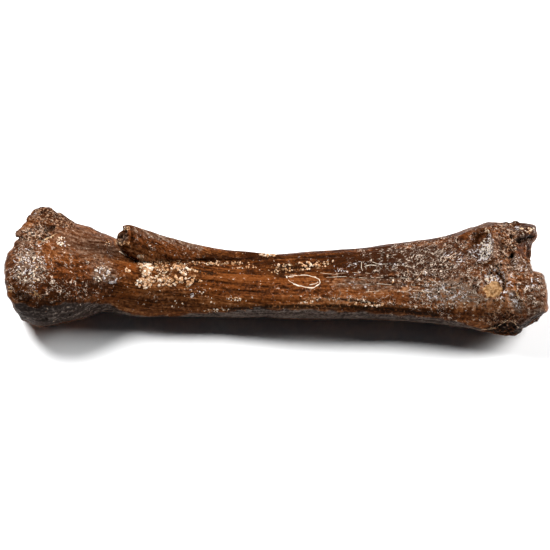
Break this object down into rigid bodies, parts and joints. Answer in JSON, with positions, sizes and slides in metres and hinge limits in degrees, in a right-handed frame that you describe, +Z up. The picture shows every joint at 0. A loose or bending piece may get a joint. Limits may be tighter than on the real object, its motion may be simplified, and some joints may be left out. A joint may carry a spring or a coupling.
{
  "type": "fossil horse bone",
  "caption": "Fossil horse forearm bone: a long, stout radius with the broken stump of the ulna fused along its rear outer edge, lying on its front face.",
  "frame": {"origin": "on the surface the bone lies on, under the middle of its bounding box", "axes": "+X along the bone, from the elbow end at -X to the wrist end at +X; +Y towards the outer side of the leg, where the ulna's stump is; +Z up, out of the bone's flat rear face"},
  "size_m": [0.338, 0.0856, 0.0514],
  "materials": {
    "fossil_bone": "dark red-brown petrified bone, half glossy, finely grained along its length, with pale speckle, ochre stains and whitish crust"
  },
  "bodies": {
    "root": {"bone": "fossil_bone"}
  },
  "joints": []
}
